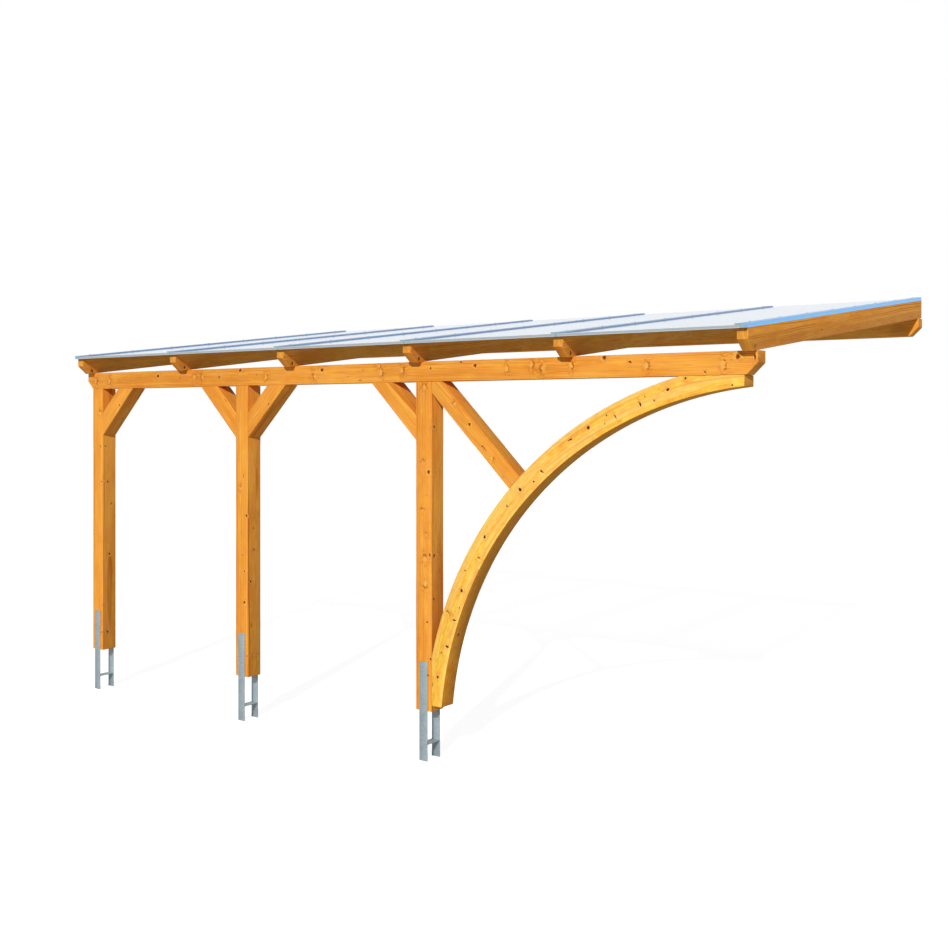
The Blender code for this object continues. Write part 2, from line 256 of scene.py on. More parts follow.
# Along the arch's middle line from its foot, out from its inner face, half sizes
ARCH_KNOTS = (
    (1.710, 0.065, 0.009, 0.009), (1.579, 0.064, 0.005, 0.005), (1.335, 0.073, 0.008, 0.008),
    (0.968, 0.049, 0.008, 0.008), (0.606, 0.028, 0.006, 0.011), (0.401, 0.054, 0.008, 0.007),
    (1.891, 0.047, 0.005, 0.013), (2.280, 0.075, 0.008, 0.008), (2.794, 0.073, 0.008, 0.009),
    (2.148, 0.079, 0.012, 0.004), (2.906, 0.100, 0.005, 0.006), (1.087, 0.081, 0.005, 0.004),
    (3.146, 0.013, 0.005, 0.004), (2.701, 0.043, 0.004, 0.004), (0.554, 0.060, 0.004, 0.004),
    (2.379, 0.046, 0.004, 0.004), (2.410, 0.084, 0.004, 0.004), (2.656, 0.083, 0.004, 0.004),
    (0.781, 0.028, 0.004, 0.012), (2.454, 0.052, 0.003, 0.012), (2.617, 0.054, 0.004, 0.012),
    (1.810, 0.037, 0.004, 0.004), (0.869, 0.021, 0.004, 0.004),
)
ARCH_SWIRLS = ((0.800, 0.088, 0.009, 0.016), (1.205, 0.035, 0.008, 0.012))
# On the arch's inner face: along, in from that face, back from the front, then its half sizes
ARCH_UNDER_KNOT = ((0.690, 0.0, 0.045), (0.009, KNOT_DEPTH, 0.009))
# On a rafter's right side: up the slope, up from its lower edge, half sizes
RAFTER_KNOT = (0.085, 0.014, 0.007, 0.012)
# Along a brace from its lower corner, or from the long brace's upper one, and across
SHORT_BRACE_KNOT = (0.30, -0.02, 0.007, 0.006)
LONG_BRACE_KNOTS = ((0.380, -0.016, 0.008, 0.007), (0.535, 0.007, 0.006, 0.005))
LONG_BRACE_SWIRLS = ((0.635, 0.008, 0.010, 0.009), (0.210, -0.028, -0.010, 0.010))

RIGHT, INWARD, UP = (1, 0, 0), (0, 1, 0), (0, 0, 1)
UP_THE_SLOPE = (0, math.cos(ROOF_PITCH), math.sin(ROOF_PITCH))
roof_turn = Matrix.Rotation(ROOF_PITCH, 4, "X")
roof_turn_back = roof_turn.inverted()


# Materials, objects and nodes


def linear(colour):
    """An sRGB hex colour as linear red, green, blue and alpha."""
    channels = [int(colour[i:i + 2], 16) / 255 for i in (0, 2, 4)]
    return (*[c / 12.92 if c <= 0.04045 else ((c + 0.055) / 1.055) ** 2.4 for c in channels], 1.0)


def add(tree, kind, inputs=(), **settings):
    """One node with its settings. Inputs gives sockets, by name or in their order, a value, or
    the output or the node that feeds them.
    """
    made = tree.nodes.new(kind)
    for name, value in settings.items():
        setattr(made, name, value)
    by_socket = inputs.items() if isinstance(inputs, dict) else enumerate(inputs)
    for socket, value in by_socket:
        if isinstance(value, bpy.types.Node):
            value = value.outputs[0]
        if isinstance(value, bpy.types.NodeSocket):
            tree.links.new(value, made.inputs[socket])
        else:
            made.inputs[socket].default_value = value
    return made


def new_material(name):
    material = bpy.data.materials.new(name)
    material.use_nodes = True
    material.node_tree.nodes.clear()
    return material, material.node_tree


def placed(name, mesh, materials=()):
    """An object at the origin with its place in its mesh."""
    for material in materials:
        mesh.materials.append(material)
    piece = bpy.data.objects.new(name, mesh)
    bpy.context.scene.collection.objects.link(piece)
    return piece


def hand_over(piece, slot, *stood_for):
    """The piece rides with the frame and stands for CAD nodes. The slot is not used."""
    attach(piece, "root")
    if stood_for:
        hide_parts(*stood_for)


# Wood


def nearest(tree, grain, spots, shift=0.0):
    """Distance to the nearest of the spots, 1 on its edge. A spot is (centre, half sizes)."""
    least = None
    for centre, half in spots:
        moved = Vector(centre) + Vector((shift * half[0], 0, 0))
        away = add(tree, "ShaderNodeVectorMath", (grain, moved), operation="SUBTRACT")
        scaled = add(tree, "ShaderNodeVectorMath", (away, half), operation="DIVIDE")
        size = add(tree, "ShaderNodeVectorMath", [scaled], operation="LENGTH").outputs["Value"]
        least = size if least is None else add(
            tree, "ShaderNodeMath", (least, size), operation="MINIMUM")
    return least


def where(tree, *changes):
    """How strongly all of the smooth changes hold at a point, each for its own value."""
    whole = None
    for value, change in changes:
        part = add(tree, "ShaderNodeMapRange", (value, *change), **SMOOTH)
        whole = part if whole is None else add(
            tree, "ShaderNodeMath", (whole, part), operation="MULTIPLY")
    return whole


def member_place(origin, along, deep):
    """A timber's own frame: x along it, y across the face that is seen, z into it."""
    along, deep = Vector(along).normalized(), Vector(deep)
    turn = Matrix((along, deep.cross(along), deep)).transposed()
    return Vector(origin), turn.to_euler(), along


def straight_grain(tree, place):
    """The point in the timber's own frame."""
    origin, turn, _ = place
    point = add(tree, "ShaderNodeTexCoord").outputs["Object"]
    return add(tree, "ShaderNodeMapping", {
        "Vector": point, "Location": origin, "Rotation": turn}, vector_type="TEXTURE")


def curved_grain(tree):
    """The point along the arch's middle line, out from its inner face, and in from its front."""
    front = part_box("front_beam")[0].y
    point = add(tree, "ShaderNodeTexCoord").outputs["Object"]
    from_centre = add(tree, "ShaderNodeVectorMath", (point, ARCH_CENTRE), operation="SUBTRACT")
    parts = add(tree, "ShaderNodeSeparateXYZ", [from_centre]).outputs
    leftward = add(tree, "ShaderNodeMath", (parts["X"], -1.0), operation="MULTIPLY")
    turn = add(tree, "ShaderNodeMath", (parts["Z"], leftward), operation="ARCTAN2")
    along = add(tree, "ShaderNodeMath", (turn, ARCH_MIDDLE_RADIUS), operation="MULTIPLY")
    flat = add(tree, "ShaderNodeCombineXYZ", (parts["X"], parts["Z"]))
    radius = add(tree, "ShaderNodeVectorMath", [flat], operation="LENGTH").outputs["Value"]
    out = add(tree, "ShaderNodeMath", (radius, ARCH_INNER_RADIUS), operation="SUBTRACT")
    deep = add(tree, "ShaderNodeMath", (parts["Y"], front), operation="SUBTRACT")
    return add(tree, "ShaderNodeCombineXYZ", (along, out, deep))


def glued_boards(tree, grain):
    """The arch's lamellas are 24 mm thick, each of boards with their own tone and grain. This is
    the point in each board's own part of the pattern, how pale the board is, and its glue lines.
    """
    parts = add(tree, "ShaderNodeSeparateXYZ", [grain]).outputs
    layer = add(tree, "ShaderNodeMath", (parts["Y"], LAMELLA), operation="DIVIDE")
    layer_number = add(tree, "ShaderNodeMath", [layer], operation="FLOOR")
    along = add(tree, "ShaderNodeMath", (layer_number, BOARD_STAGGER * BOARD_LENGTH, parts["X"]),
                operation="MULTIPLY_ADD")
    board = add(tree, "ShaderNodeMath", (along, BOARD_LENGTH), operation="DIVIDE")
    board_number = add(tree, "ShaderNodeMath", [board], operation="FLOOR")
    both = add(tree, "ShaderNodeCombineXYZ", (board_number, layer_number))
    own = add(tree, "ShaderNodeTexWhiteNoise", {"Vector": both})
    moved = add(tree, "ShaderNodeVectorMath", (own.outputs["Color"], BOARD_SHIFTS, grain),
                operation="MULTIPLY_ADD")
    seam = add(tree, "ShaderNodeMath", (layer, 0.5), operation="PINGPONG")
    return moved, where(tree, (own, PALE_BOARDS)), where(tree, (seam, GLUE_LINE))


def growth_rings(tree, pattern, seeded, pith, to_knot):
    """Late wood in rings round a pith, and the wandering that bends them. Knots push them aside."""
    slow = add(tree, "ShaderNodeVectorMath", (seeded, WANDER_SIZE), operation="DIVIDE")
    wander = add(tree, "ShaderNodeTexNoise", {
        "Vector": slow, "Scale": 1.0, "Detail": 1.5, "Roughness": 0.5})
    off_pith = add(tree, "ShaderNodeVectorMath", (pattern, (0, *pith)), operation="SUBTRACT")
    bent = add(tree, "ShaderNodeVectorMath", (
        wander.outputs["Color"], (0, RING_WANDER, RING_WANDER), off_pith), operation="MULTIPLY_ADD")
    flat = add(tree, "ShaderNodeVectorMath", (bent, RING_LENGTHENING), operation="MULTIPLY")
    radius = add(tree, "ShaderNodeVectorMath", [flat], operation="LENGTH").outputs["Value"]
    radius = add(tree, "ShaderNodeMath", (radius, where(tree, (to_knot, RINGS_PUSHED))),
                 operation="ADD")
    ring = add(tree, "ShaderNodeMath", (radius, RING_SPACING), operation="DIVIDE")
    ring_number = add(tree, "ShaderNodeMath", [ring], operation="FLOOR")
    in_ring = add(tree, "ShaderNodeMath", [ring], operation="FRACT")
    own = add(tree, "ShaderNodeTexWhiteNoise", {"W": ring_number}, noise_dimensions="1D")
    rise = add(tree, "ShaderNodeFloatCurve", {"Value": in_ring})
    curve = rise.mapping.curves[0]
    curve.points[0].location = (0.0, 0.0)
    curve.points[1].location = (1.0, 0.0)
    for place in LATE_WOOD_RISE:
        curve.points.new(*place)
    rise.mapping.update()
    late = add(tree, "ShaderNodeMath", (rise, where(tree, (own, LATE_WOOD_OF_RING))),
               operation="MULTIPLY")
    return late, wander


def spruce(name, seed, pith, knots, swirls, colours, place=None):
    """Spruce under a light oak glaze. The eye sees warm orange wood with fine darker late wood
    lines along the timber, brown knots with the grain flowing round them, and a satin sheen.
    Rings are drawn 8.5 mm apart instead of about 3 mm, so that they show from the camera.
    Without a place it is the arch's laminated spruce, in boards of several tones, with
    painted shade on its faces other than the front and back.
    """
    material, tree = new_material(name)
    (early, amber, late_tint, knot_tint, core_tint, pale, pink,
     yellow) = [linear(colour) for colour in colours]
    if place:
        grain = pattern = straight_grain(tree, place)
        boards = []
        blotch_size, pink_blotches, yellow_blotches = BLOTCH_SIZE, PINK_BLOTCHES, YELLOW_BLOTCHES
        dulled_and_shaded_way, dulled_and_shaded_faces, dulled_and_shaded_colour = place[2], *SAWN_ENDS
    else:
        grain = curved_grain(tree)
        pattern, board_tone, glue = glued_boards(tree, grain)
        boards = [(board_tone, pale), (glue, late_tint)]
        blotch_size, pink_blotches, yellow_blotches = (
            ARCH_BLOTCH_SIZE, ARCH_PINK_BLOTCHES, ARCH_YELLOW_BLOTCHES)
        # The arch's faces other than front and back take painted shade
        dulled_and_shaded_way, dulled_and_shaded_faces, dulled_and_shaded_colour = ARCH_PAINTED_SHADE_FACES
    seeded = add(tree, "ShaderNodeVectorMath", (
        pattern, [seed * shift for shift in SEED_SHIFTS]), operation="ADD")

    # Knots and swirls are never quite round
    lumps = add(tree, "ShaderNodeTexNoise", {
        "Vector": seeded, "Scale": 1 / KNOT_LUMP_SIZE, "Detail": 2.0, "Roughness": 0.6})
    off_round = add(tree, "ShaderNodeVectorMath", (lumps.outputs["Color"], (0.5, 0.5, 0.5)),
                    operation="SUBTRACT")
    knot_grain = add(tree, "ShaderNodeVectorMath", (off_round, KNOT_UNEVENNESS, grain),
                     operation="MULTIPLY_ADD")
    to_knot = nearest(tree, knot_grain, knots + swirls)
    late, wander = growth_rings(tree, pattern, seeded, pith, to_knot)

    # Fine fibres, slow patches and smaller blotches of tone
    noises = []
    for size, detail, roughness in (
            (FIBRE_SIZE, 3.0, 0.6), (PATCH_SIZE, 3.0, 0.55), (blotch_size, 2.0, 0.55)):
        scaled = add(tree, "ShaderNodeVectorMath", (seeded, size), operation="DIVIDE")
        noises.append(add(tree, "ShaderNodeTexNoise", {
            "Vector": scaled, "Scale": 1.0, "Detail": detail, "Roughness": roughness}))
    fibres, patches, blotches = noises

    # Pin knots a few millimetres wide
    cells = add(tree, "ShaderNodeVectorMath", (seeded, PIN_KNOT_SPACING), operation="DIVIDE")
    pins = add(tree, "ShaderNodeTexVoronoi", {"Vector": cells, "Scale": 1.0, "Randomness": 1.0})
    chosen = add(tree, "ShaderNodeSeparateColor", [pins.outputs["Color"]]).outputs["Red"]

    # What tints the early wood, one over the other: where, and with which colour
    shown_late = add(tree, "ShaderNodeMath", (late, where(tree, (wander, LATE_WOOD_SHOWN))),
                     operation="MULTIPLY")
    layers = [
        (where(tree, (patches, AMBER_PATCHES)), amber),
        (where(tree, (blotches, pink_blotches)), pink),
        (where(tree, (blotches, yellow_blotches)), yellow),
        (shown_late, late_tint),
        (where(tree, (fibres, DARK_FIBRES)), late_tint),
        *boards,
        (where(tree, (to_knot, SOAKED_BY_KNOTS), (lumps, SOAKED_LUMPS)), late_tint),
        (where(tree, (pins, PIN_KNOT_EDGE), (chosen, PIN_KNOT_CHANCE)), knot_tint)]

    # Swirls: a thin dark curved line on one side of a small pale oval. The oval is a painted
    # highlight, and the line is partly grain and partly painted shade
    if swirls:
        oval = nearest(tree, knot_grain, swirls)
        beside = nearest(tree, knot_grain, swirls, SWIRL_SHIFT)
        layers += [
            (where(tree, (beside, SWIRL_HIGHLIGHT)), pale),
            (where(tree, (oval, SWIRL_RIM), (beside, SWIRL_SIDE), (fibres, SWIRL_BREAKS)),
             knot_tint)]
    dark = nearest(tree, knot_grain, knots)
    # Round each knot a pale ring, partly paler wood and partly a painted highlight, then its dark
    # edge and core
    for change, tint in ((KNOT_HALO_HIGHLIGHT, pale), (KNOT_EDGE, knot_tint), (KNOT_CORE, core_tint)):
        layers.append((where(tree, (dark, change)), tint))

    # Sawn ends drink the glaze and look duller. On the arch this paints shade: a darker orange on
    # every face but the front and back
    normal = add(tree, "ShaderNodeNewGeometry").outputs["True Normal"]
    facing = add(tree, "ShaderNodeVectorMath", (normal, dulled_and_shaded_way), operation="DOT_PRODUCT")
    facing = add(tree, "ShaderNodeMath", [facing.outputs["Value"]], operation="ABSOLUTE")
    layers.append((where(tree, (facing, dulled_and_shaded_faces)), linear(dulled_and_shaded_colour)))

    colour = early
    for strength, tint in layers:
        colour = add(tree, "ShaderNodeMix", {"Factor": strength, "A": colour, "B": tint},
                     data_type="RGBA").outputs["Result"]
    height = add(tree, "ShaderNodeMath", (late, where(tree, (dark, KNOT_DENT))),
                 operation="SUBTRACT")
    bump = add(tree, "ShaderNodeBump", {"Height": height, "Strength": 0.35, "Distance": 0.0006})
    roughness = add(tree, "ShaderNodeMapRange", (fibres, 0.3, 0.7, 0.62, 0.48), **SMOOTH)
    shader = add(tree, "ShaderNodeBsdfPrincipled", {
        "Base Color": colour, "Normal": bump, "IOR": 1.45, "Specular IOR Level": 0.04,
        "Roughness": roughness})
    add(tree, "ShaderNodeOutputMaterial", [shader])
    return material


# Timbers


def front_spots(spots):
    """Knots on the front face, as centres and half sizes."""
    return [((a, b, 0.0), (c, d, KNOT_DEPTH)) for a, b, c, d in spots]


def side_spots(spots, width):
    """Knots on the right side of a post this wide."""
    return [((a, width, b), (c, KNOT_DEPTH, d)) for a, b, c, d in spots]


def eased_copy(node, material, easing):
    """A timber or plate of the model with its long edges rounded a little, as a planer does."""
    shape = bmesh.new()
    shape.from_mesh(nodes[node].data)
    bmesh.ops.remove_doubles(shape, verts=shape.verts, dist=MERGE_DISTANCE)
    bmesh.ops.dissolve_limit(shape, angle_limit=FLAT_ANGLE, verts=shape.verts, edges=shape.edges)
    mesh = bpy.data.meshes.new(node)
    shape.to_mesh(mesh)
    shape.free()
    mesh.shade_smooth()
    piece = placed(f"{node}_eased", mesh, [material])
    bevel = piece.modifiers.new("easing", "BEVEL")
    bevel.width = easing
    bevel.segments = 2
    bevel.limit_method = "ANGLE"
    bevel.angle_limit = SHARP_ANGLE
    bevel.harden_normals = True
    return piece


def timbers():
    """Each straight timber: its node, its kind, its own frame, its knots and its swirls."""
    for node, (knots, swirls, side_knots) in POST_KNOTS.items():
        low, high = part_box(node)
        spots = front_spots(knots) + side_spots(side_knots, high.x - low.x)
        yield node, "post", member_place(low, UP, INWARD), spots, front_spots(swirls)
    for node, knots, swirls in (("front_beam", BEAM_KNOTS, BEAM_SWIRLS),
                                ("wall_ledger", LEDGER_KNOTS, LEDGER_SWIRLS)):
        low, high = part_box(node)
        place = member_place((low.x, low.y, high.z), RIGHT, INWARD)
        yield node, "beam", place, front_spots(knots), front_spots(swirls)
    for number in range(1, RAFTERS + 1):
        node = f"rafter_{number}"
        low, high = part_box(node)
        along, up, half_length, half_height = RAFTER_KNOT
        spots = [((along, up, high.x - low.x), (half_length, half_height, KNOT_DEPTH))]
        yield node, "rafter", member_place(low, UP_THE_SLOPE, RIGHT), spots, []
    for node, way in (("brace_left_post", 1), ("brace_middle_post_left", -1),
                      ("brace_middle_post_right", 1), ("brace_right_post", -1)):
        low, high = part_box(node)
        corner = (low.x if way > 0 else high.x, low.y, low.z)
        place = member_place(corner, (way, 0, 1), INWARD)
        yield node, "short brace", place, front_spots([SHORT_BRACE_KNOT]), []
    low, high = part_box("long_brace")
    place = member_place((low.x, low.y, high.z), (1, 0, -1), INWARD)
    yield ("long_brace", "long brace", place, front_spots(LONG_BRACE_KNOTS),
           front_spots(LONG_BRACE_SWIRLS))


def make_timbers():
    """Each timber has its own piece of wood, and the arch the last one."""
    for seed, (node, kind, place, knots, swirls) in enumerate(timbers(), 1):
        wood = spruce(f"glazed_spruce_{node}", seed, PITHS[kind], knots, swirls, SPRUCE, place)
        easing = RAFTER_EASING if kind == "rafter" else TIMBER_EASING
        hand_over(eased_copy(node, wood, easing), "glazed_spruce", node)
    wood = spruce("glazed_laminated_spruce", seed + 1, PITHS["arch"],
                  front_spots(ARCH_KNOTS) + [ARCH_UNDER_KNOT], front_spots(ARCH_SWIRLS), ARCH_SPRUCE)
    hand_over(eased_copy("curved_arch", wood, TIMBER_EASING), "laminated_spruce", "curved_arch")


# Metal and plastic


def galvanised_steel():
    """Hot dip galvanised plate. The eye sees dull pale grey metal with a faint zinc spangle.
    The spangle is drawn 9 mm across.
    """
    material, tree = new_material("hot_dip_galvanised_steel")
    point = add(tree, "ShaderNodeTexCoord").outputs["Object"]
    flakes = add(tree, "ShaderNodeTexVoronoi", {
        "Vector": point, "Scale": 1 / SPANGLE_SIZE, "Randomness": 1.0})
    flake = add(tree, "ShaderNodeSeparateColor", [flakes.outputs["Color"]]).outputs
    clouds = add(tree, "ShaderNodeTexNoise", {
        "Vector": point, "Scale": 1 / ZINC_CLOUD_SIZE, "Detail": 3.0, "Roughness": 0.6})
    tone = add(tree, "ShaderNodeMath", (flake["Red"], 0.5, clouds), operation="MULTIPLY_ADD")
    pale = add(tree, "ShaderNodeMapRange", (tone, 0.4, 1.1, 0.0, 1.0), **SMOOTH)
    colour = add(tree, "ShaderNodeMix", {
        "Factor": pale, "A": linear("9DAFB5"), "B": linear("AFBEC3")}, data_type="RGBA")
    roughness = add(tree, "ShaderNodeMapRange", (flake["Green"], 0.0, 1.0, 0.42, 0.56), **SMOOTH)
    shader = add(tree, "ShaderNodeBsdfPrincipled", {
        "Base Color": colour.outputs["Result"], "Metallic": 0.5, "Roughness": roughness})
    add(tree, "ShaderNodeOutputMaterial", [shader])
    return material


def mill_aluminium(name, dark, light):
    """Extruded aluminium as it leaves the mill. The eye sees cool grey metal that mirrors the sky
    softly, with faint drawing lines down the slope. They are drawn 3 mm apart, coarser than real.
    """
    material, tree = new_material(name)
    point = add(tree, "ShaderNodeTexCoord").outputs["Object"]
    drawn = add(tree, "ShaderNodeVectorMath", (point, DRAWING_LINE_SIZE), operation="DIVIDE")
    lines = add(tree, "ShaderNodeTexNoise", {
        "Vector": drawn, "Scale": 1.0, "Detail": 2.0, "Roughness": 0.5})
    pale = add(tree, "ShaderNodeMapRange", (lines, 0.3, 0.7, 0.0, 1.0), **SMOOTH)
    colour = add(tree, "ShaderNodeMix", {
        "Factor": pale, "A": linear(dark), "B": linear(light)}, data_type="RGBA")
    roughness = add(tree, "ShaderNodeMapRange", (lines, 0.2, 0.8, 0.30, 0.42), **SMOOTH)
    shader = add(tree, "ShaderNodeBsdfPrincipled", {
        "Base Color": colour.outputs["Result"], "Metallic": 0.85, "Roughness": roughness})
    add(tree, "ShaderNodeOutputMaterial", [shader])
    return material


def clear_polycarbonate():
    """Clear twin wall sheet. The eye sees thin glossy plastic with a pale blue cast and the fine
    lines of its ribs. It looks through it from above, and sees mostly sky on it from the side.
    """
    material, tree = new_material("clear_twin_wall_polycarbonate")
    point = add(tree, "ShaderNodeTexCoord").outputs["Object"]
    slow = add(tree, "ShaderNodeVectorMath", (point, SHEET_WAVE_SIZE), operation="DIVIDE")
    waves = add(tree, "ShaderNodeTexNoise", {
        "Vector": slow, "Scale": 1.0, "Detail": 2.0, "Roughness": 0.5})
    pale = add(tree, "ShaderNodeMapRange", (waves, 0.35, 0.65, 0.0, 1.0), **SMOOTH)
    colour = add(tree, "ShaderNodeMix", {
        "Factor": pale, "A": linear("A4D2FC"), "B": linear("C6E4FF")}, data_type="RGBA")
    ripple = add(tree, "ShaderNodeBump", {"Height": waves, "Strength": 0.1, "Distance": 0.001})
    slant = add(tree, "ShaderNodeLayerWeight", {"Blend": 0.5}).outputs["Facing"]
    cover = add(tree, "ShaderNodeMapRange", (slant, 0.55, 0.92, 0.38, 0.88), **SMOOTH)
    shader = add(tree, "ShaderNodeBsdfPrincipled", {
        "Base Color": colour.outputs["Result"], "Roughness": 0.06, "IOR": 1.58, "Alpha": cover,
        "Coat Weight": 0.2, "Coat Roughness": 0.03, "Specular Tint": linear("B8DAFC"),
        "Normal": ripple})
    add(tree, "ShaderNodeOutputMaterial", [shader])
    return material


def moulded(name, dark, light, roughness):
    """Moulded rubber or plastic. The eye sees a dull even skin with slightly lighter wear."""
    material, tree = new_material(name)
    point = add(tree, "ShaderNodeTexCoord").outputs["Object"]
    wear = add(tree, "ShaderNodeTexNoise", {
        "Vector": point, "Scale": 1 / WEAR_SIZE, "Detail": 3.0, "Roughness": 0.6})
    colour = add(tree, "ShaderNodeMix", {
        "Factor": wear, "A": linear(dark), "B": linear(light)}, data_type="RGBA")
    shader = add(tree, "ShaderNodeBsdfPrincipled", {
        "Base Color": colour.outputs["Result"], "Roughness": roughness})
    add(tree, "ShaderNodeOutputMaterial", [shader])
    return material


# Geometry Nodes trees and swept bodies


def new_tree(name, sizes):
    """A Geometry Nodes tree; sizes gives its named inputs and their kinds of socket."""
    tree = bpy.data.node_groups.new(name, "GeometryNodeTree")
    tree.interface.new_socket("Geometry", in_out="INPUT", socket_type="NodeSocketGeometry")
    for title, kind in sizes.items():
        tree.interface.new_socket(title, in_out="INPUT", socket_type=kind)
    tree.interface.new_socket("Geometry", in_out="OUTPUT", socket_type="NodeSocketGeometry")
    return tree, add(tree, "NodeGroupInput").outputs


def finish_tree(tree, instances, material):
    """The end of a tree: real geometry in its material."""
    real = add(tree, "GeometryNodeRealizeInstances", [instances])
    painted = add(tree, "GeometryNodeSetMaterial", {"Geometry": real, "Material": material})
    add(tree, "NodeGroupOutput", [painted])


def sheet_rib_tree():
    """The ribs between the two walls of a roof sheet, added to the walls."""
    tree, sizes = new_tree("sheet_ribs", {
        "Count": "NodeSocketInt", "First": "NodeSocketVector", "Step": "NodeSocketVector",
        "Rib Size": "NodeSocketVector", "Material": "NodeSocketMaterial"})
    line = add(tree, "GeometryNodeMeshLine", {
        "Count": sizes["Count"], "Start Location": sizes["First"], "Offset": sizes["Step"]})
    rib = add(tree, "GeometryNodeMeshCube", {"Size": sizes["Rib Size"]})
    ribs = add(tree, "GeometryNodeInstanceOnPoints", {"Points": line, "Instance": rib})
    both = add(tree, "GeometryNodeJoinGeometry", [ribs])
    tree.links.new(sizes["Geometry"], both.inputs[0])
    finish_tree(tree, both, sizes["Material"])
    return tree


def screw_tree():
    """A screw head on a washer at each point of the mesh, turned by Lean."""
    tree, sizes = new_tree("screw_heads", {
        "Washer Radius": "NodeSocketFloat", "Washer Height": "NodeSocketFloat",
        "Head Radius": "NodeSocketFloat", "Head Height": "NodeSocketFloat",
        "Head Sides": "NodeSocketInt", "Lean": "NodeSocketVector",
        "Material": "NodeSocketMaterial"})
    washer = add(tree, "GeometryNodeMeshCone", {
        "Vertices": WASHER_SIDES, "Radius Top": sizes["Head Radius"],
        "Radius Bottom": sizes["Washer Radius"], "Depth": sizes["Washer Height"]})
    narrow = add(tree, "ShaderNodeMath", (sizes["Head Radius"], HEAD_TAPER), operation="MULTIPLY")
    head = add(tree, "GeometryNodeMeshCone", {
        "Vertices": sizes["Head Sides"], "Radius Top": narrow,
        "Radius Bottom": sizes["Head Radius"], "Depth": sizes["Head Height"]})
    rise = add(tree, "ShaderNodeCombineXYZ", {"Z": sizes["Washer Height"]})
    raised = add(tree, "GeometryNodeTransform", {"Geometry": head, "Translation": rise})
    both = add(tree, "GeometryNodeJoinGeometry", [washer])
    tree.links.new(raised.outputs[0], both.inputs[0])
    screws = add(tree, "GeometryNodeInstanceOnPoints", {
        "Points": sizes["Geometry"], "Instance": both, "Rotation": sizes["Lean"]})
    finish_tree(tree, screws, sizes["Material"])
    return tree


def grown(name, mesh, tree, sizes, turn):
    """What the tree makes of a mesh with these sizes, as a plain mesh in the model's frame."""
    start = bpy.data.objects.new(name + "_start", mesh)
    bpy.context.scene.collection.objects.link(start)
    modifier = start.modifiers.new(tree.name, "NODES")
    modifier.node_group = tree
    for item in tree.interface.items_tree:
        if item.in_out == "INPUT" and item.name in sizes:
            modifier[item.identifier] = sizes[item.name]
    bpy.context.view_layer.update()
    evaluated = start.evaluated_get(bpy.context.evaluated_depsgraph_get())
    made = bpy.data.meshes.new_from_object(evaluated)
    made.name = name
    made.transform(turn)
    start.modifiers.clear()
    bpy.data.objects.remove(start)
    return placed(name, made)


def points_mesh(name, points):
    mesh = bpy.data.meshes.new(name)
    mesh.from_pydata(points, [], [])
    return mesh


def swept_faces(count):
    """The faces of a body between two outlines of this many corners."""
    sides = [(i, (i + 1) % count, count + (i + 1) % count, count + i) for i in range(count)]
    return [tuple(range(count)), tuple(range(count, 2 * count)), *sides]


def along_y(outline, low, high):
    """The corners and faces of a body with this outline in x and z, from low to high along y."""
    return [(x, y, z) for y in (low, high) for x, z in outline], swept_faces(len(outline))


def along_x(outline, low, high):
    """The corners and faces of a body with this outline in y and z, from low to high along x."""
    return [(x, y, z) for x in (low, high) for y, z in outline], swept_faces(len(outline))


def rectangle(left, right, bottom, top):
    return [(left, bottom), (right, bottom), (right, top), (left, top)]


def closed_mesh(name, bodies, turn):
    """One mesh of closed bodies with their faces outwards, in the model's frame."""
    shape = bmesh.new()
    for corners, faces in bodies:
        made = [shape.verts.new(turn @ Vector(corner)) for corner in corners]
        for face in faces:
            shape.faces.new([made[i] for i in face])
    bmesh.ops.recalc_face_normals(shape, faces=shape.faces)
    mesh = bpy.data.meshes.new(name)
    shape.to_mesh(mesh)
    shape.free()
    return mesh


# Anchors


def make_anchors():
    """Anchor plates with eased edges and pan head screws into the posts."""
    steel = galvanised_steel()
    tree = screw_tree()
    faces = {"front": [], "back": []}
    for side in ("left", "middle", "right"):
        node = f"post_anchor_{side}"
        hand_over(eased_copy(node, steel, PLATE_EASING), "galvanised_steel", node)
        low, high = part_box(node)
        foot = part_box(f"post_{side}")[0].z + PLATE_SCREW_END
        for i in range(PLATE_SCREWS):
            x = (low.x + high.x) / 2 + PLATE_SCREW_OFFSET * (-1) ** i
            z = foot + i * PLATE_SCREW_PITCH
            faces["front"].append((x, low.y + SCREW_SINK, z))
            faces["back"].append((x, high.y - SCREW_SINK, z))
    for face, lean in (("front", math.pi / 2), ("back", -math.pi / 2)):
        mesh = points_mesh(f"{face}_screw_points", faces[face])
        sizes = {**PLATE_SCREW, "Lean": (lean, 0.0, 0.0), "Material": steel}
        screws = grown(f"anchor_screws_{face}", mesh, tree, sizes, Matrix.Identity(4))
        hand_over(screws, "galvanised_steel")


# Roof


def slope_box(node):
    """A roof node's box in the roof's own frame, whose y runs up the slope."""
    corners = [roof_turn_back @ vertex.co for vertex in nodes[node].data.vertices]
    low = Vector([min(corner[i] for corner in corners) for i in range(3)])
    high = Vector([max(corner[i] for corner in corners) for i in range(3)])
    return low, high


def make_sheets():
    """Twin wall sheets: two walls with ribs down the slope between them."""
    plastic = clear_polycarbonate()
    tree = sheet_rib_tree()
    for number in range(1, SHEETS + 1):
        node = f"roof_sheet_{number}"
        low, high = slope_box(node)
        walls = [along_y(rectangle(low.x, high.x, bottom, bottom + WALL), low.y, high.y)
                 for bottom in (low.z, high.z - WALL)]
        mesh = closed_mesh(node + "_walls", walls, Matrix.Identity(4))
        bays = round((high.x - low.x) / RIB_PITCH)
        step = (high.x - low.x - RIB) / bays
        middle = (low + high) / 2
        height = high.z - low.z - 2 * (WALL + RIB_CLEARANCE)
        piece = grown(f"{node}_twin_wall", mesh, tree, {
            "Count": bays + 1, "First": (low.x + RIB / 2, middle.y, middle.z),
            "Step": (step, 0.0, 0.0), "Rib Size": (RIB, high.y - low.y, height),
            "Material": plastic}, roof_turn)
        hand_over(piece, "ribbed_polycarbonate", node)


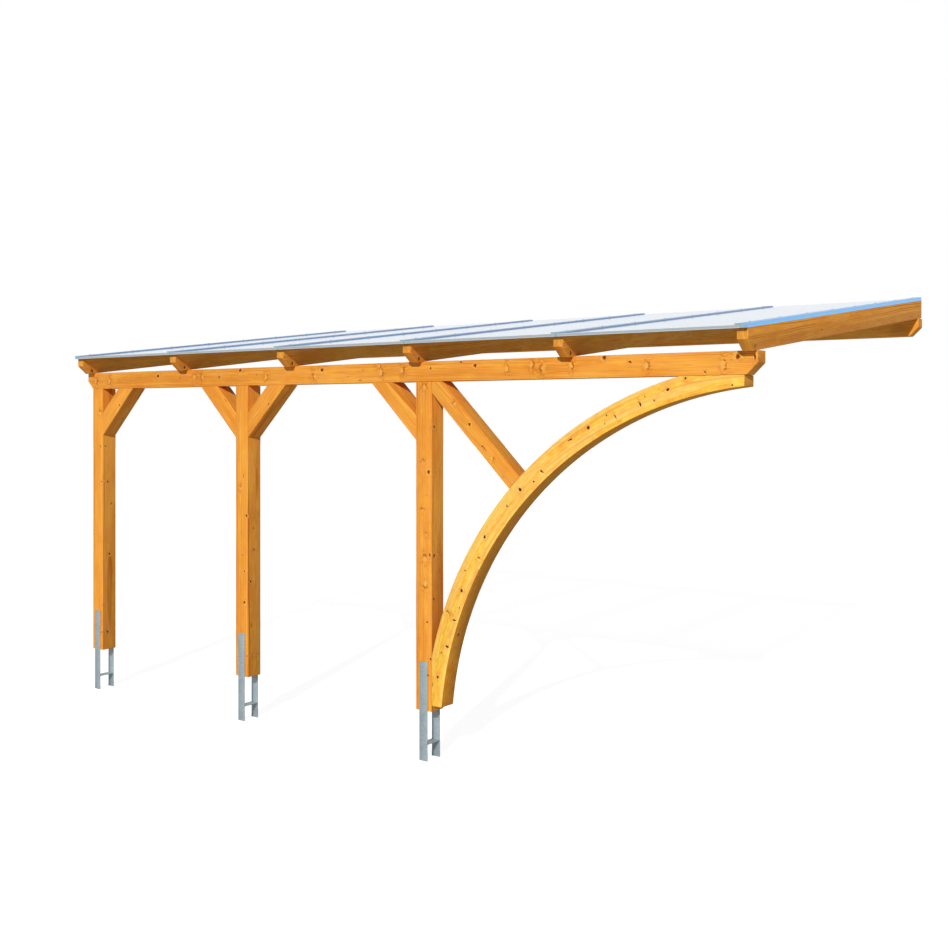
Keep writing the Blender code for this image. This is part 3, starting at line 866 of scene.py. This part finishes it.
def bar_half(half, bottom, top, filled):
    """Half across a bar: half a crown and a falling side with a rim, on half the web between the
    sheets. At a roof edge the web is as wide as the bar and has a slim recess down its face.
    """
    under = top - BAR_CAP
    side_top = top - CROWN_DROP
    part = [(CROWN_HALF_WIDTH, top), (CROWN_HALF_WIDTH + CROWN_STEP, top - CROWN_STEP),
            (half - 2 * BAR_EDGE_ROUNDING, side_top),
            (half - BAR_EDGE_ROUNDING / 3, side_top - BAR_EDGE_ROUNDING / 3),
            (half, side_top - BAR_EDGE_ROUNDING), (half, under)]
    if filled:
        return part + [(half - SKIRT_RECESS, under - SKIRT_RECESS),
                       (half - SKIRT_RECESS, bottom + SKIRT_LIP),
                       (half, bottom + SKIRT_LIP - SKIRT_RECESS), (half, bottom)]
    return part + [(half - BAR_RIM, under), (half - BAR_RIM, under + SEAL_SLOT),
                   (BAR_WEB_HALF_WIDTH, under + SEAL_SLOT), (BAR_WEB_HALF_WIDTH, bottom)]


def cap_half(half, bottom, top, filled):
    """Half of a bar's end cap, which has the bar's plain outline."""
    part = [(half - END_CHAMFER, top), (half, top - END_CHAMFER)]
    if filled:
        return part + [(half, bottom)]
    return part + [(half, top - BAR_CAP), (BAR_WEB_HALF_WIDTH, top - BAR_CAP),
                   (BAR_WEB_HALF_WIDTH, bottom)]


def both_halves(make_half, low, high, filled):
    """A whole outline from its two halves. Filled says for the left and the right one whether
    they are at a roof edge.
    """
    middle, half = (low.x + high.x) / 2, (high.x - low.x) / 2
    left, right = [make_half(half, low.z, high.z, closed) for closed in filled]
    return [(middle + x, z) for x, z in right] + [(middle - x, z) for x, z in reversed(left)]


def make_bars():
    """Cover bars with rubber seals under their rims, plastic end caps and hexagon screws."""
    inner = mill_aluminium("mill_finish_aluminium", "859DBF", "96ABCA")
    film = mill_aluminium("aluminium_with_blue_protective_film", "72C2FF", "88CEFF")
    cap_plastic = moulded("grey_green_cap_plastic", "88A9B8", "A0BECA", 0.45)
    rubber = moulded("grey_seal_rubber", "4A4F54", "5C6166", 0.8)
    caps, seals, points = [], [], []
    for number in range(1, BARS + 1):
        node = f"cover_bar_{number}"
        low, high = slope_box(node)
        filled = (number == 1, number == BARS)
        start = low.y + END_CAP
        outline = both_halves(bar_half, low, high, filled)
        mesh = closed_mesh(node, [along_y(outline, start, high.y)], roof_turn)
        bar = placed(f"{node}_profile", mesh, [inner, film])
        for face in mesh.polygons:
            outward = face.normal.x * (filled[1] - filled[0])
            face.material_index = int(outward > FILM_FACING)
        hand_over(bar, "aluminium", node)
        outline = both_halves(cap_half, low, high, filled)
        caps.append(along_y(outline, low.y, start - CLEARANCE))
        under = high.z - BAR_CAP
        for side, rim, closed in ((-1, low.x, filled[0]), (1, high.x, filled[1])):
            if not closed:
                outer = rim - side * (BAR_RIM + CLEARANCE)
                outline = rectangle(outer - side * SEAL_WIDTH, outer, under, under + SEAL_HEIGHT)
                seals.append(along_y(outline, start, high.y))
        run = high.y - low.y - 2 * SCREW_END_DISTANCE
        points += [((low.x + high.x) / 2,
                    low.y + SCREW_END_DISTANCE + run * i / (SCREWS_PER_BAR - 1),
                    high.z - SCREW_SINK) for i in range(SCREWS_PER_BAR)]
    for name, bodies, material in (("bar_end_caps", caps, cap_plastic),
                                   ("bar_seals", seals, rubber)):
        hand_over(placed(name, closed_mesh(name, bodies, roof_turn), [material]), "aluminium")
    sizes = {**BAR_SCREW, "Lean": (0.0, 0.0, 0.0), "Material": galvanised_steel()}
    mesh = points_mesh("bar_screw_points", points)
    hand_over(grown("bar_screws", mesh, screw_tree(), sizes, roof_turn), "galvanised_steel")


def strip_outline(face, back, inward, bottom, top):
    """Across a closing strip: a face with a groove, and a drip lip below it."""
    middle = (bottom + top) / 2
    front = face + inward * STRIP_FACE
    groove = front + inward * STRIP_GROOVE
    return [(back, bottom), (back, top), (face + inward * END_CHAMFER, top),
            (front, top - END_CHAMFER), (front, middle + STRIP_GROOVE),
            (groove, middle + STRIP_GROOVE / 2), (groove, middle - STRIP_GROOVE / 2),
            (front, middle - STRIP_GROOVE), (front, bottom + 2 * END_CHAMFER),
            (face, bottom + END_CHAMFER), (face, bottom)]


def make_closing_strips():
    """Profiles on the sheets' two ends, with their faces down the slope or to the wall."""
    aluminium = mill_aluminium("mill_finish_closing_strip", "C6D3D8", "DAE2E4")
    for kind, inward in (("eaves", 1), ("wall", -1)):
        for number in range(1, SHEETS + 1):
            node = f"{kind}_strip_{number}"
            low, high = slope_box(node)
            face, back = (low.y, high.y) if inward > 0 else (high.y, low.y)
            outline = strip_outline(face, back, inward, low.z, high.z)
            mesh = closed_mesh(node, [along_x(outline, low.x, high.x)], roof_turn)
            hand_over(placed(f"{node}_profile", mesh, [aluminium]), "aluminium", node)


# Camera, light and floor


def make_camera():
    data = bpy.data.cameras.new("camera")
    data.sensor_width = SENSOR_WIDTH
    data.lens = FOCAL_LENGTH_PX / PHOTO_SIDE * SENSOR_WIDTH
    data.shift_x = (PHOTO_SIDE / 2 - CENTRE_COLUMN_PX) / PHOTO_SIDE
    data.shift_y = (HORIZON_ROW_PX - PHOTO_SIDE / 2) / PHOTO_SIDE
    data.clip_end = FLOOR_SIDE
    camera = bpy.data.objects.new("camera", data)
    camera.location = CAMERA_PLACE
    camera.rotation_euler = (math.radians(90), 0, CAMERA_TURN)
    bpy.context.scene.collection.objects.link(camera)
    bpy.context.scene.camera = camera


def make_light():
    """A low soft sun from the front right and a white surround that fills the shadows."""
    lamp = bpy.data.lights.new("sun", "SUN")
    lamp.energy = SUN_STRENGTH
    lamp.angle = SUN_SOFTNESS
    sun = bpy.data.objects.new("sun", lamp)
    towards = Vector((math.sin(SUN_AZIMUTH) * math.cos(SUN_ELEVATION),
                      -math.cos(SUN_AZIMUTH) * math.cos(SUN_ELEVATION), math.sin(SUN_ELEVATION)))
    sun.rotation_euler = towards.to_track_quat("Z", "Y").to_euler()
    bpy.context.scene.collection.objects.link(sun)
    world = bpy.data.worlds.new("studio")
    bpy.context.scene.world = world
    world.use_nodes = True
    tree = world.node_tree
    tree.nodes.clear()
    path = add(tree, "ShaderNodeLightPath").outputs
    seen = path["Is Camera Ray"]
    for ray in ("Is Glossy Ray", "Is Transmission Ray"):
        seen = add(tree, "ShaderNodeMath", (seen, path[ray]), operation="MAXIMUM")
    fill = add(tree, "ShaderNodeBackground", {"Color": linear(WHITE), "Strength": SKY_STRENGTH})
    white = add(tree, "ShaderNodeBackground", {"Color": linear(WHITE), "Strength": 1.0})
    mix = add(tree, "ShaderNodeMixShader", (seen, fill, white))
    add(tree, "ShaderNodeOutputWorld", [mix])


def make_floor():
    """A pale floor that the camera sees as white where no shadow falls."""
    mesh = bpy.data.meshes.new("floor")
    half = FLOOR_SIDE / 2
    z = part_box("post_anchor_right")[0].z
    mesh.from_pydata([(-half, -half, z), (half, -half, z), (half, half, z), (-half, half, z)],
                     [], [(0, 1, 2, 3)])
    material, tree = new_material("pale_studio_floor")
    path = add(tree, "ShaderNodeLightPath").outputs
    paint = add(tree, "ShaderNodeBsdfDiffuse", {"Color": linear(FLOOR_PAINT)})
    dim_paint = add(tree, "ShaderNodeBsdfDiffuse", {"Color": linear(FLOOR_PAINT_SEEN)})
    glow = add(tree, "ShaderNodeEmission", {"Color": linear(WHITE), "Strength": FLOOR_GLOW})
    seen = add(tree, "ShaderNodeAddShader", (dim_paint, glow))
    mix = add(tree, "ShaderNodeMixShader", (path["Is Camera Ray"], paint, seen))
    add(tree, "ShaderNodeOutputMaterial", [mix])
    placed("floor", mesh, [material])


make_timbers()
make_anchors()
make_sheets()
make_bars()
make_closing_strips()
make_camera()
make_light()
make_floor()
bpy.context.scene.view_settings.view_transform = "Standard"
